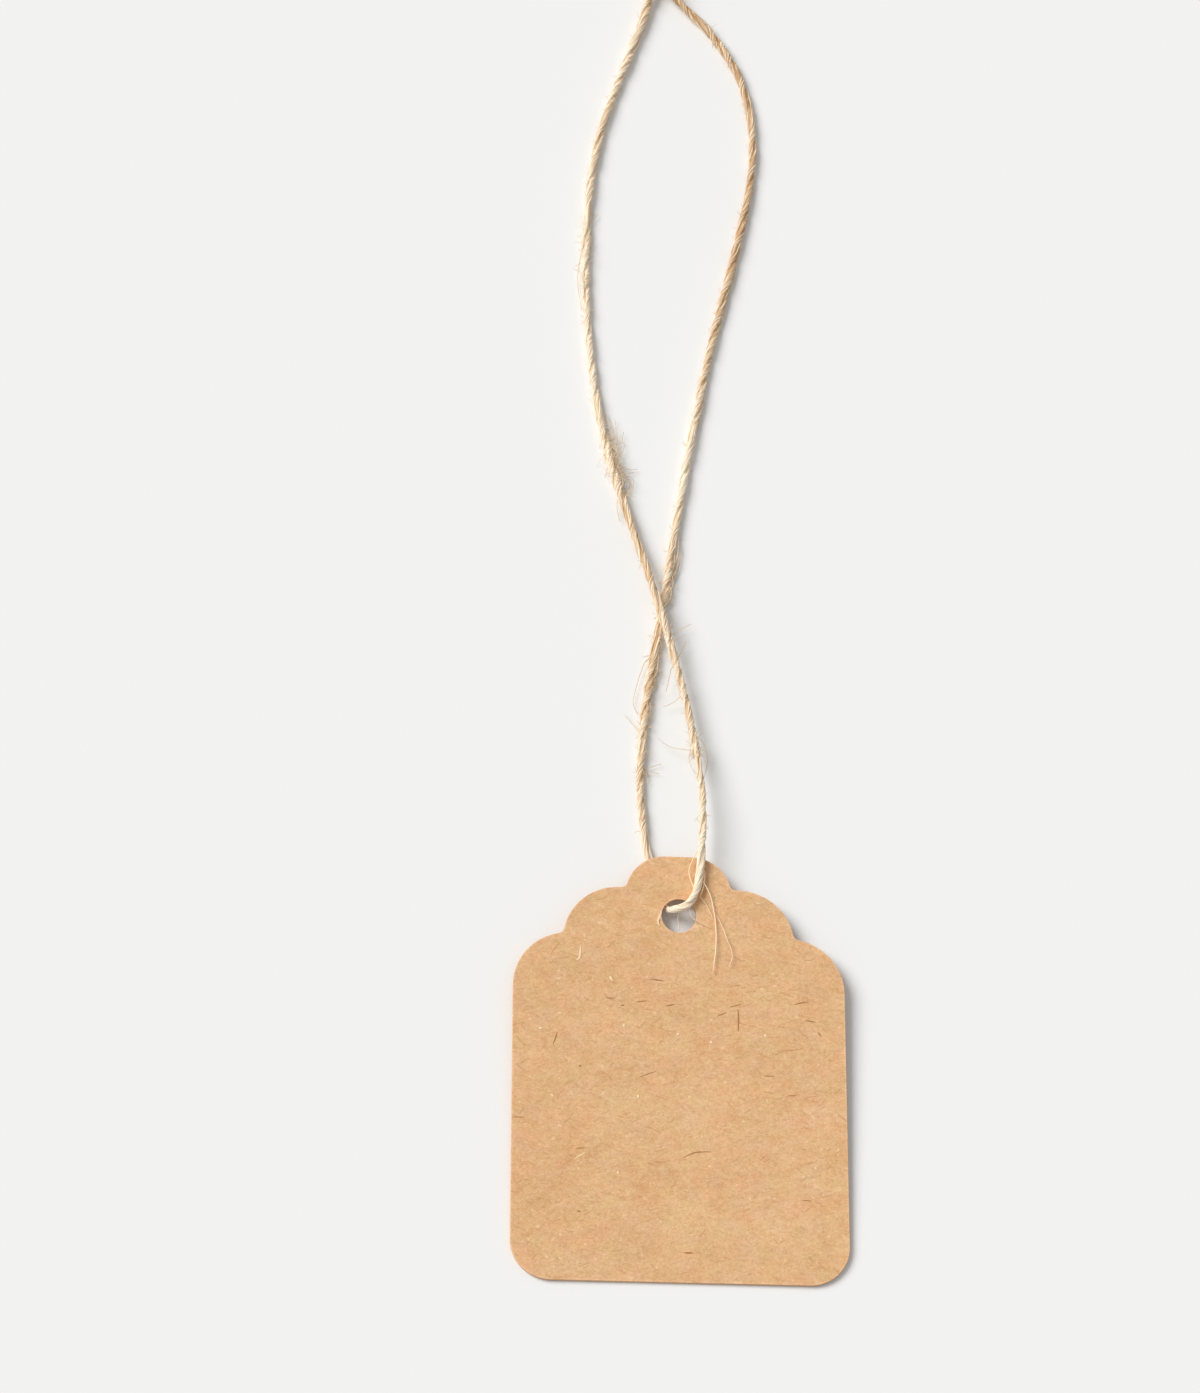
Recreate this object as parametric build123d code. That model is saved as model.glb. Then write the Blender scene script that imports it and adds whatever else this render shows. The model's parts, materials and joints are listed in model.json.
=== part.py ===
from build123d import *
import math
import os

# Gift tag: a die-cut kraft card threaded on a knotted loop of twine, lying face up on a table.
# Millimetres. +Z is up off the table, +Y runs from the card's plain end to its scalloped end.
# The origin is on the table, under the middle of the card.

# Card
CARD_WIDTH = 38.0
CARD_LENGTH = 50.0
CARD_THICKNESS = 0.4
PLAIN_CORNER_RADIUS = 4.5

# Scalloped end: the crown stands on a middle tier, which stands on the card's shoulders.
# A drop is how far a tier's top edge lies below the crown's top edge.
CROWN_WIDTH = 12.2
CROWN_RADIUS = 4.6
MIDDLE_WIDTH = 26.6
MIDDLE_DROP = 3.9
MIDDLE_RADIUS = 6.4
SHOULDER_DROP = 9.6
SHOULDER_RADIUS = 6.4
NOTCH_RADIUS = 0.8

# Punched hole
HOLE_DIAMETER = 4.0
HOLE_DROP = 7.2

# Twine
TWINE_DIAMETER = 1.0
TWINE_CLEARANCE = 0.3
DIVE_DEPTH = 0.6  # how far the centre line lies below the card's back where it dives through the hole
BEND_SHARE = 0.45  # share of a run that the arc at each of its ends may take

# Knot: turns of twine drawn tight round a core where the twine's two ends are tied together
KNOT_TURNS = 3
KNOT_CORE_DIAMETER = 2.2
KNOT_PLACE = (-1.8, 128.2)

# Worked out from the sizes above: the card leans on the twine that runs under its hole
HOLE_HEIGHT = CARD_LENGTH - HOLE_DROP
CARD_LIFT = TWINE_DIAMETER + TWINE_CLEARANCE
CARD_TILT = math.degrees(math.asin(CARD_LIFT / HOLE_HEIGHT))
TILT_COS = math.cos(math.radians(CARD_TILT))
TILT_SIN = math.sin(math.radians(CARD_TILT))
PLAIN_END_Y = -(CARD_LENGTH * TILT_COS - CARD_THICKNESS * TILT_SIN) / 2
HOLE_Y = PLAIN_END_Y + HOLE_HEIGHT * TILT_COS

# Heights of the twine's centre line
ON_TABLE = TWINE_DIAMETER / 2
ON_CARD = CARD_LIFT + CARD_THICKNESS + TWINE_CLEARANCE / 2 + TWINE_DIAMETER / 2
ON_CROWN = ON_CARD + HOLE_DROP * TILT_SIN
ON_TWINE = ON_TABLE + TWINE_DIAMETER + TWINE_CLEARANCE
IN_HOLE = CARD_LIFT - DIVE_DEPTH
STEP_UP = TWINE_CLEARANCE
KNOT_HEIGHT = (KNOT_CORE_DIAMETER + TWINE_DIAMETER) / 2
IN_KNOT = KNOT_HEIGHT - TWINE_CLEARANCE

# The loop's route from the knot, over the card, down through the hole and back under the card.
# Each point is x and y from the hole's centre, and the centre line's height.
LOOP_ROUTE = [
    (-2.5, 127.0, IN_KNOT),
    (-3.6, 122.5, ON_TABLE),
    (-6.3, 114.6, ON_TABLE),
    (-9.4, 103.6, ON_TABLE),
    (-10.9, 89.0, ON_TABLE),
    (-10.3, 75.0, ON_TABLE),
    (-8.4, 62.0, ON_TABLE),
    (-5.3, 50.0, ON_TABLE + STEP_UP),
    (-2.9, 42.0, ON_TWINE),
    (-0.4, 33.0, ON_TWINE),
    (1.7, 24.0, ON_TWINE - STEP_UP),
    (2.9, 15.0, ON_CROWN),
    (2.6, 8.2, ON_CROWN),
    (1.95, 4.0, ON_CARD + STEP_UP / 2),
    (1.5, 1.75, ON_CARD),
    (0.1, 0.95, ON_CARD - STEP_UP / 2),
    (-1.05, 0.55, IN_HOLE),
    (-2.0, 2.6, ON_TABLE),
    (-3.1, 6.0, ON_TABLE),
    (-4.0, 10.8, ON_TABLE),
    (-4.4, 18.0, ON_TABLE),
    (-3.6, 27.5, ON_TABLE),
    (-1.7, 38.0, ON_TABLE),
    (0.4, 52.0, ON_TABLE),
    (2.6, 65.0, ON_TABLE),
    (5.3, 78.0, ON_TABLE),
    (8.6, 91.0, ON_TABLE),
    (10.6, 102.5, ON_TABLE),
    (9.5, 112.5, ON_TABLE),
    (5.4, 120.0, ON_TABLE),
    (1.0, 124.2, ON_TABLE + STEP_UP),
    (-1.2, 127.0, IN_KNOT),
]

# The two cut ends beyond the knot, in the same terms
LEFT_TAIL_ROUTE = [
    (-2.4, 129.2, IN_KNOT),
    (-3.0, 132.0, ON_TABLE + STEP_UP),
    (-4.2, 135.2, ON_TABLE),
    (-5.8, 138.0, ON_TABLE),
]
RIGHT_TAIL_ROUTE = [
    (-1.1, 129.2, IN_KNOT),
    (-0.5, 131.6, ON_TABLE + STEP_UP),
    (-0.4, 134.4, ON_TABLE),
    (0.3, 137.0, ON_TABLE),
]


def tier(width, foot, top, radius):
    """A flat tier centred on X, from foot to top along Y, with its two upper corners rounded."""
    slab = Pos(0, (foot + top) / 2) * Rectangle(width, top - foot)
    return fillet(slab.vertices().group_by(Axis.Y)[-1], radius)


def card_outline():
    """The card's flat outline, with its plain end on the X axis."""
    waist = CARD_LENGTH - SHOULDER_DROP - SHOULDER_RADIUS
    body = tier(CARD_WIDTH, 0, CARD_LENGTH - SHOULDER_DROP, SHOULDER_RADIUS)
    body = fillet(body.vertices().group_by(Axis.Y)[0], PLAIN_CORNER_RADIUS)
    middle = tier(MIDDLE_WIDTH, waist, CARD_LENGTH - MIDDLE_DROP, MIDDLE_RADIUS)
    crown = tier(CROWN_WIDTH, waist, CARD_LENGTH, CROWN_RADIUS)
    sharp = body + middle + crown
    # Grown and shrunk again, the outline keeps its round corners and gains rounded notches.
    return offset(offset(sharp, NOTCH_RADIUS), -NOTCH_RADIUS)


def make_card():
    """The card, resting on its plain end's lower edge and leaning on the twine under the hole."""
    flat = extrude(card_outline(), CARD_THICKNESS)
    leaning = Pos(0, PLAIN_END_Y, 0) * Rot(CARD_TILT, 0, 0) * flat
    punch_reach = 2 * (CARD_LIFT + CARD_THICKNESS)
    punch = Pos(0, HOLE_Y, 0) * Cylinder(HOLE_DIAMETER / 2, 2 * punch_reach)
    return leaning - punch


def bend_radii(points):
    """The largest arc that each corner's two runs allow, for every corner of the route."""
    radii = []
    for before, corner, after in zip(points, points[1:], points[2:]):
        first, second = corner - before, after - corner
        half_turn = math.radians(first.get_angle(second) / 2)
        shorter = min(first.length, second.length)
        radii.append(BEND_SHARE * shorter / math.tan(half_turn))
    return radii


def make_twine(name, route):
    """A round tube along a route, printed with its bends and its volume against section times length."""
    points = [Vector(x, HOLE_Y + y, z) for x, y, z in route]
    radii = bend_radii(points)
    path = FilletPolyline(*points, radius=radii)
    section = Plane(origin=path @ 0, z_dir=path % 0) * Circle(TWINE_DIAMETER / 2)
    tube = sweep(section, path=path)
    print(name, "length", round(path.length, 1), "bend radii", [round(r, 1) for r in radii])
    print(name, "volume over section times length", round(tube.volume / (section.area * path.length), 4))
    return tube


def make_knot():
    """The tied knot: a core along Y with turns of twine side by side round it, lying on the table."""
    half_length = KNOT_TURNS * TWINE_DIAMETER / 2
    lump = Rot(90, 0, 0) * Cylinder(KNOT_CORE_DIAMETER / 2, 2 * half_length)
    for turn in range(KNOT_TURNS):
        along = turn * TWINE_DIAMETER + TWINE_DIAMETER / 2 - half_length
        ring = Torus(KNOT_CORE_DIAMETER / 2, TWINE_DIAMETER / 2)
        lump += Pos(0, along, 0) * Rot(90, 0, 0) * ring
    x, y = KNOT_PLACE
    return Pos(x, HOLE_Y + y, KNOT_HEIGHT) * lump


nodes = {
    "tag_card": make_card(),
    "twine_loop": make_twine("twine_loop", LOOP_ROUTE),
    "twine_knot": make_knot(),
    "twine_tail_left": make_twine("twine_tail_left", LEFT_TAIL_ROUTE),
    "twine_tail_right": make_twine("twine_tail_right", RIGHT_TAIL_ROUTE),
}

os.makedirs("parts", exist_ok=True)
for name, solid in nodes.items():
    solid.label = name
    export_step(solid, f"parts/{name}.step")
print("hole centre y", round(HOLE_Y, 4), "card tilt", round(CARD_TILT, 4))
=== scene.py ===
import json
import math
import random
from types import SimpleNamespace

import bmesh
import bpy
import numpy as np
from bpy.props import FloatProperty, FloatVectorProperty, IntProperty, PointerProperty
from mathutils import Euler, Matrix, Vector
from mathutils.bvhtree import BVHTree


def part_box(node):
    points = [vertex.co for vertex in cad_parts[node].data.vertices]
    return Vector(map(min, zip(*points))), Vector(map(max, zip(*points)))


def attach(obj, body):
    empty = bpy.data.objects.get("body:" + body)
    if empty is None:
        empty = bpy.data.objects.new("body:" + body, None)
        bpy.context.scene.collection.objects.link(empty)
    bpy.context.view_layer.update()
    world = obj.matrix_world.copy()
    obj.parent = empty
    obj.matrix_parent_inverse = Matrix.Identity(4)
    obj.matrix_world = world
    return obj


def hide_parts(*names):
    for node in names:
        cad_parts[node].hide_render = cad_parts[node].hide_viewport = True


bl_info = {
    "name": "Gift Tag",
    "version": (1, 0, 0),
    "blender": (4, 5, 0),
    "location": "3D Viewport > Sidebar > Gift Tag",
    "description": "Dresses a kraft gift tag that hangs on a knotted loop of jute twine",
    "category": "Object",
}

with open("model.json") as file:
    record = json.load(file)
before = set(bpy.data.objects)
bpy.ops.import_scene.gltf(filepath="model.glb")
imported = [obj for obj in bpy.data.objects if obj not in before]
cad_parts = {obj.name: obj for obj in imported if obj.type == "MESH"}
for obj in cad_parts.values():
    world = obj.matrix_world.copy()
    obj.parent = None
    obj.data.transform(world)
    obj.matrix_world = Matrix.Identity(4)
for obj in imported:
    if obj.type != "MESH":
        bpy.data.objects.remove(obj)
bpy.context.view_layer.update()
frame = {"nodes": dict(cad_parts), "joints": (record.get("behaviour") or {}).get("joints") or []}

# Metres. The twine's route is told from the centre of the card's hole, which the loop swivels about.
# All other places are as they lie in the frame.
HOLE = Vector(frame["joints"][0]["pos_m"])

# Heights of the twine's centre line
ON_TABLE = 0.0005
ON_CARD = 0.00235
ON_CROWN = 0.00257
ON_TWINE = 0.0018
IN_HOLE = 0.0007
STEP_UP = 0.0003
KNOT_HEIGHT = 0.0016

# The loop's route from the knot, over the card, down through the hole and back under the card
LOOP_ROUTE = [
    (-0.0031, 0.1225, ON_TABLE),
    (-0.0058, 0.1146, ON_TABLE),
    (-0.0095, 0.1036, ON_TABLE),
    (-0.0110, 0.0890, ON_TABLE),
    (-0.0105, 0.0750, ON_TABLE),
    (-0.0088, 0.0620, ON_TABLE),
    (-0.0053, 0.0500, ON_TABLE + STEP_UP),
    (-0.0029, 0.0420, ON_TWINE),
    (-0.0004, 0.0330, ON_TWINE),
    (0.0017, 0.0240, ON_TWINE - STEP_UP),
    (0.0029, 0.0150, ON_CROWN),
    (0.00265, 0.0082, ON_CROWN),
    (0.0024, 0.0048, ON_CARD + STEP_UP / 2),
    (0.0019, 0.0024, ON_CARD),
    (0.0009, 0.00095, ON_CARD),
    (-0.0005, 0.0006, ON_CARD - STEP_UP),
    (-0.0013, 0.0011, IN_HOLE),
    (-0.0020, 0.0030, ON_TABLE),
    (-0.0031, 0.0060, ON_TABLE),
    (-0.0040, 0.0108, ON_TABLE),
    (-0.0044, 0.0180, ON_TABLE),
    (-0.0036, 0.0275, ON_TABLE),
    (-0.0017, 0.0380, ON_TABLE),
    (0.0004, 0.0520, ON_TABLE),
    (0.0026, 0.0650, ON_TABLE),
    (0.0053, 0.0780, ON_TABLE),
    (0.0086, 0.0910, ON_TABLE),
    (0.0106, 0.1025, ON_TABLE),
    (0.0095, 0.1125, ON_TABLE),
    (0.0054, 0.1200, ON_TABLE),
    (0.0010, 0.1242, ON_TABLE + STEP_UP),
]

# The two cut ends beyond the knot, from the knot outwards
LEFT_TAIL_ROUTE = [
    (-0.0030, 0.1320, ON_TABLE + STEP_UP),
    (-0.0042, 0.1352, ON_TABLE),
    (-0.0058, 0.1380, ON_TABLE),
]
RIGHT_TAIL_ROUTE = [
    (-0.0005, 0.1316, ON_TABLE + STEP_UP),
    (-0.0004, 0.1344, ON_TABLE),
    (0.0003, 0.1370, ON_TABLE),
]

# The knot: each end runs up its lane, wraps once round both, and leaves up the next lane.
# A point is its distance from the knot's axis, its angle round it in degrees, and its place along it.
KNOT_PLACE = (-0.0018, 0.1282)
KNOT_TURN = [
    (0.00055, 215, -0.0012),
    (0.00055, 215, 0.0004),
    (0.00075, 218, 0.0013),
    (0.00110, 235, 0.0013),
    (0.00115, 285, 0.0008),
    (0.00115, 335, 0.0003),
    (0.00115, 385, -0.0002),
    (0.00115, 435, -0.0007),
    (0.00110, 470, -0.0013),
    (0.00070, 485, -0.0013),
    (0.00055, 485, -0.0004),
    (0.00055, 485, 0.0012),
]

# Points that the smooth curve of a route, or of a fibre, has between two of its control points
ROUTE_RESOLUTION = 24
FIBRE_RESOLUTION = 6

# The card's mesh: angles that count as flat, as the card's corner and as sharp, how upright the normal
# of a flat face is at least and that of the cut edge at most, and how near points are merged or cut
FLAT_ANGLE = math.radians(1)
CORNER_ANGLE = math.radians(60)
SHARP_ANGLE = math.radians(15)
FLAT_FACE = 0.999
CUT_EDGE = 0.5
MERGE_DISTANCE = 1e-6
CUT_DISTANCE = 1e-7

# A height above everything on the card, from which its face is found, and how thick the fibres
# pressed into the face stay against their width
ABOVE_CARD = 0.01
PRESSED = 0.12

# Dark bark fibres and pale flecks pressed into the card's face: width against the usual fibre,
# then places on the face
BARK_FIBRES = [
    (1.6, [(-0.0139, 0.0035), (-0.0141, 0.0027), (-0.0144, 0.0020)]),
    (2.0, [(0.0067, 0.0068), (0.0068, 0.0060), (0.0067, 0.0042)]),
    (1.2, [(0.0057, 0.0070), (0.0064, 0.0072), (0.0071, 0.0074)]),
    (1.3, [(0.0044, 0.0060), (0.0049, 0.0061), (0.0054, 0.0064)]),
    (1.5, [(0.0131, 0.0075), (0.0139, 0.0078), (0.0148, 0.0079)]),
    (1.5, [(0.0144, 0.0057), (0.0150, 0.0056), (0.0156, 0.0055)]),
    (1.8, [(0.0158, 0.0043), (0.0160, 0.0041), (0.0162, 0.0038)]),
    (1.5, [(-0.0033, 0.0101), (-0.0025, 0.0100), (-0.0017, 0.0099)]),
    (1.3, [(-0.0050, 0.0073), (-0.0044, 0.0074), (-0.0037, 0.0075)]),
    (1.6, [(-0.0067, 0.0068), (-0.0065, 0.0069), (-0.0063, 0.0069)]),
    (1.7, [(-0.0015, 0.0070), (-0.0011, 0.0070), (-0.0006, 0.0072)]),
    (1.2, [(-0.0084, 0.0077), (-0.0079, 0.0077), (-0.0073, 0.0077)]),
    (3.2, [(-0.0113, -0.0003), (-0.0113, -0.0004), (-0.0113, -0.0005)]),
    (1.1, [(-0.0045, -0.0015), (-0.0036, -0.0011), (-0.0027, -0.0008)]),
    (1.2, [(0.0096, -0.0010), (0.0102, -0.0010), (0.0108, -0.0010)]),
    (1.2, [(0.0122, -0.0033), (0.0127, -0.0032), (0.0132, -0.0032)]),
    (1.5, [(0.0003, -0.0108), (0.0013, -0.0102), (0.0022, -0.0100), (0.0035, -0.0100)]),
    (1.3, [(-0.0117, -0.0100), (-0.0112, -0.0100), (-0.0107, -0.0099)]),
    (1.3, [(-0.0116, -0.0171), (-0.0114, -0.0172), (-0.0111, -0.0173)]),
    (1.1, [(0.0136, -0.0153), (0.0142, -0.0153), (0.0148, -0.0154)]),
    (1.8, [(0.0004, -0.0216), (0.0009, -0.0216), (0.0014, -0.0216)]),
    (1.0, [(-0.0188, -0.0066), (-0.0183, -0.0066), (-0.0174, -0.0066)]),
    (1.2, [(-0.0021, 0.0178), (-0.0023, 0.0173), (-0.0022, 0.0168)]),
]
PALE_FIBRES = [
    (2.6, [(-0.0113, 0.0138), (-0.0113, 0.0132), (-0.0114, 0.0122), (-0.0118, 0.0121)]),
    (3.6, [(-0.0079, 0.0103), (-0.0078, 0.0100), (-0.0076, 0.0097)]),
    (2.8, [(-0.0160, 0.0038), (-0.0158, 0.0039), (-0.0156, 0.0039)]),
    (3.0, [(-0.0063, 0.0047), (-0.0063, 0.0045), (-0.0063, 0.0043)]),
    (3.8, [(-0.0003, 0.0036), (-0.0002, 0.0036), (0.0000, 0.0037)]),
    (4.0, [(0.0035, 0.0029), (0.0036, 0.0028), (0.0038, 0.0027)]),
    (3.4, [(0.0097, 0.0039), (0.0098, 0.0038), (0.0099, 0.0036)]),
    (2.8, [(-0.0145, -0.0038), (-0.0144, -0.0039), (-0.0143, -0.0041)]),
    (3.2, [(-0.0047, -0.0036), (-0.0047, -0.0038), (-0.0047, -0.0040)]),
    (2.2, [(0.0153, -0.0115), (0.0153, -0.0116), (0.0154, -0.0117)]),
    (2.8, [(-0.0070, -0.0125), (-0.0070, -0.0127), (-0.0069, -0.0128)]),
    (1.4, [(-0.0119, -0.0113), (-0.0113, -0.0108), (-0.0106, -0.0104)]),
    (3.0, [(-0.0020, 0.0183), (-0.0022, 0.0176), (-0.0025, 0.0170), (-0.0022, 0.0164)]),
]

# The twine's make-up, as shares of its diameter: how far a ply's middle lies from the twine's, the half
# depth and half breadth of the ring of strands round it, and the widths of what the twine is made of
PLY_OFFSET = 0.22
PLY_DEPTH = 0.14
PLY_BREADTH = 0.27
MIDDLE_WIDTH = 0.66
CORE_WIDTH = 0.36
STRAND_WIDTH = 0.21
BOWED_WIDTH = 0.11

# How often a strand goes round its ply while the ply goes once round the twine
STRAND_TURNS = 2.0

# Rings by which the twine's middle and a ply's core stop short of each cut end, and the number that
# a strand stops short by fewer rings than
MIDDLE_CUT = 5
CORE_CUT = 4
STRAND_CUT = 4

# Thickness against the usual diameter, then the length of a cut end that has come undone, and how
# much thicker and slacker the twine is there and where it is worn
USUAL_THICKNESS = 1.08
FRAY_LENGTH = 0.002
FRAY_THICKNESS = 0.46
FRAY_SLACK = 0.6
WORN_THICKNESS = 0.15
WORN_SLACK = 0.12

# Tones, from 0 for tan to 1 for straw, then how fast they pale outwards, and the distance from the
# twine's middle, as a share of its diameter, at which they stay as they are. The paling outwards is
# partly wear and partly painted shade, darker in the grooves between strands and plies.
MIDDLE_TONE = 0.45
CORE_TONE = 0.35
STRAND_TONE = 0.5
RUBBING_AND_PAINTED_SHADE = 2.1
USUAL_DEPTH = 0.36

# Distance between two strands in the noise that streaks them, in radii of a strand
STREAKS_APART = 5

# Seeds of what falls by chance
TWINE_SEED = 11
HAIR_SEED = 23

# Stretches that differ from the rest of the twine: how far past the hole their middle lies, which is
# negative on the run over the card, half length, change of tone and change of thickness. The paler
# stretch at the hole is a painted highlight, and the darker stretches at both far ends are painted
# shade.
UNEVEN_STRETCHES = [
    (-0.135, 0.030, -0.36, 0.00),
    (-0.121, 0.007, 0.00, 0.15),
    (-0.083, 0.016, 0.12, 0.00),
    (-0.050, 0.010, -0.38, 0.00),
    (0.000, 0.012, 0.38, 0.00),
    (0.000, 0.035, 0.00, -0.08),
    (0.060, 0.011, 0.38, 0.00),
    (0.090, 0.016, -0.18, 0.00),
    (0.135, 0.030, -0.34, 0.00),
]

# Worn stretches of the twine: place, half length, short hairs there, the longest of them,
# how far strands bow out, and the side that both are on: 1 is right, -1 is left, 0 is all round
WORN_STRETCHES = [
    ((-0.0072, 0.0765), 0.0040, 150, 0.0020, 0.0009, 1),
    ((-0.0010, 0.0530), 0.0025, 40, 0.0016, 0.0003, 0),
    ((-0.0036, 0.0460), 0.0060, 90, 0.0014, 0.0003, 1),
    ((-0.0003, 0.0610), 0.0050, 80, 0.0013, 0.0005, 1),
    ((0.0020, 0.0385), 0.0018, 30, 0.0014, 0.0005, 0),
    ((-0.0106, 0.1030), 0.0060, 30, 0.0016, 0.0003, 0),
    ((0.0065, 0.0995), 0.0060, 30, 0.0010, 0.0002, 1),
    ((0.0030, 0.0800), 0.0060, 30, 0.0010, 0.0002, 1),
]

# Short hairs: the longest away from worn stretches, how much they lean along the twine there and where
# it is worn, their roots' distance from the twine's middle as a share of its diameter, and how far past
# the card they begin
SHORT_HAIR = 0.0012
USUAL_LEAN = 0.7
WORN_LEAN = 0.35
HAIR_ROOT = 0.36
PAST_CARD = 0.003

# Hairs at each cut end, the ring that they start from and their shortest and longest length
FRAYED_HAIRS = 22
FRAYED_RING = 2
FRAYED_LENGTHS = (0.0008, 0.0022)

# Strands that bow out of each worn stretch, and their distance from the twine's middle where they
# start, as a share of its diameter
BOWED_STRANDS = 9
BOWED_ROOT = 0.3

# Least heights of a hair and of a bowed strand over the table, and how thick a hair is against its width
HAIR_HEIGHT = 0.00005
BOWED_HEIGHT = 0.0001
HAIR_FLATNESS = 0.4

# Long fibres that have come loose from the twine and lie over the card: width against a long hair,
# then places and heights over the card's face
LOOSE_FIBRES = [
    (1.7, [(0.0027, 0.0218, 0.0008), (0.0034, 0.0208, 0.0005), (0.0038, 0.0197, 0.0003),
           (0.0040, 0.0185, 0.0003), (0.0042, 0.0172, 0.0003), (0.0043, 0.0150, 0.0003),
           (0.0041, 0.0126, 0.0004), (0.0038, 0.0108, 0.0004)]),
    (1.1, [(0.0043, 0.0178, 0.0004), (0.0046, 0.0173, 0.0004), (0.0051, 0.0162, 0.0004),
           (0.0055, 0.0149, 0.0004), (0.0060, 0.0138, 0.0004), (0.0061, 0.0130, 0.0004),
           (0.0060, 0.0123, 0.0004), (0.0056, 0.0117, 0.0004)]),
    (0.8, [(0.0011, 0.0184, 0.0006), (0.0014, 0.0175, 0.0004), (0.0021, 0.0171, 0.0003),
           (0.0030, 0.0167, 0.0003), (0.0038, 0.0163, 0.0003)]),
    (0.9, [(0.0022, 0.0202, 0.0006), (0.0031, 0.0193, 0.0003), (0.0035, 0.0184, 0.0003),
           (0.0039, 0.0175, 0.0003)]),
    (1.3, [(0.0025, 0.0262, 0.0006), (0.0012, 0.0240, 0.0005), (0.0011, 0.0222, 0.0005),
           (0.0019, 0.0206, 0.0006)]),
    (1.2, [(0.0029, 0.0232, 0.0007), (0.0031, 0.0217, 0.0006), (0.0024, 0.0200, 0.0006)]),
    (0.9, [(-0.0001, 0.0187, 0.0004), (-0.0001, 0.0178, -0.0003), (0.0000, 0.0169, -0.0005),
           (0.0001, 0.0162, -0.0005)]),
]

# Loose fibres beside the twine where it is worn, from the twine outwards, then the share of the twine's
# height that is left at their tips, and what is added to it
FLUFF = [
    [(-0.0110, 0.1068), (-0.0117, 0.1028), (-0.0118, 0.1002), (-0.0112, 0.0970)],
    [(-0.0103, 0.1091), (-0.0099, 0.1070), (-0.0103, 0.1045)],
    [(-0.0108, 0.1082), (-0.0100, 0.1095), (-0.0092, 0.1107)],
    [(-0.0069, 0.0782), (-0.0071, 0.0795), (-0.0076, 0.0808), (-0.0083, 0.0831)],
    [(-0.0067, 0.0774), (-0.0069, 0.0790), (-0.0069, 0.0806), (-0.0072, 0.0822)],
    [(-0.0069, 0.0763), (-0.0065, 0.0772), (-0.0059, 0.0786), (-0.0064, 0.0793), (-0.0061, 0.0805)],
    [(-0.0080, 0.0781), (-0.0073, 0.0785), (-0.0061, 0.0791)],
    [(-0.0069, 0.0755), (-0.0061, 0.0757), (-0.0054, 0.0753), (-0.0045, 0.0755)],
    [(-0.0070, 0.0738), (-0.0064, 0.0745), (-0.0057, 0.0748), (-0.0049, 0.0751)],
    [(-0.0068, 0.0726), (-0.0067, 0.0738), (-0.0059, 0.0746), (-0.0049, 0.0742), (-0.0049, 0.0729),
     (-0.0056, 0.0722)],
    [(-0.0066, 0.0722), (-0.0063, 0.0734), (-0.0057, 0.0739), (-0.0053, 0.0731), (-0.0058, 0.0725)],
    [(-0.0068, 0.0730), (-0.0062, 0.0723), (-0.0053, 0.0715)],
    [(-0.0080, 0.0759), (-0.0082, 0.0751), (-0.0083, 0.0742)],
    [(-0.0069, 0.0714), (-0.0070, 0.0700), (-0.0066, 0.0684)],
    [(-0.0010, 0.0527), (-0.0002, 0.0536), (0.0007, 0.0543), (0.0018, 0.0550)],
    [(-0.0007, 0.0517), (0.0002, 0.0531), (0.0011, 0.0536)],
    [(-0.0002, 0.0498), (0.0006, 0.0511), (0.0012, 0.0527)],
    [(-0.0006, 0.0492), (-0.0008, 0.0481), (-0.0012, 0.0462)],
    [(-0.0034, 0.0507), (-0.0041, 0.0490), (-0.0049, 0.0461), (-0.0052, 0.0444), (-0.0045, 0.0433)],
    [(-0.0038, 0.0404), (-0.0047, 0.0415), (-0.0062, 0.0434)],
    [(0.0004, 0.0454), (-0.0001, 0.0449), (-0.0007, 0.0445), (-0.0016, 0.0442)],
    [(0.0015, 0.0384), (0.0001, 0.0387), (-0.0012, 0.0391), (-0.0022, 0.0401)],
    [(0.0020, 0.0392), (0.0025, 0.0404), (0.0030, 0.0410)],
    [(0.0019, 0.0384), (0.0026, 0.0387), (0.0033, 0.0388)],
    [(0.0024, 0.0402), (0.0032, 0.0394), (0.0036, 0.0380), (0.0035, 0.0365), (0.0031, 0.0351)],
    [(0.0018, 0.0389), (0.0014, 0.0381), (0.0014, 0.0370), (0.0021, 0.0358)],
    [(-0.0039, 0.0362), (-0.0028, 0.0368), (-0.0018, 0.0371)],
    [(-0.0038, 0.0357), (-0.0030, 0.0361), (-0.0021, 0.0359)],
    [(-0.0040, 0.0372), (-0.0035, 0.0358), (-0.0033, 0.0345)],
    [(-0.0009, 0.0599), (0.0001, 0.0614), (0.0006, 0.0632), (0.0008, 0.0648)],
    [(-0.0014, 0.0579), (-0.0006, 0.0595), (-0.0002, 0.0612)],
]
FLUFF_SINK = 0.4
FLUFF_LIFT = 0.0002

# The stage: half the floor's width, the direction that the key light comes from, the point that the
# camera looks at, its distance from there, its turn about X, Y and Z, and its sensor in millimetres
FLOOR_REACH = 3
KEY_LAMP_FROM = (-2.70, 1.32, 2.55)
CAMERA_AIM = (-0.008937, 0.045620, 0)
CAMERA_DISTANCE = 0.47097
CAMERA_TURN = (math.radians(23.524), math.radians(-5.146), 0)
SENSOR_WIDTH = 36


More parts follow.
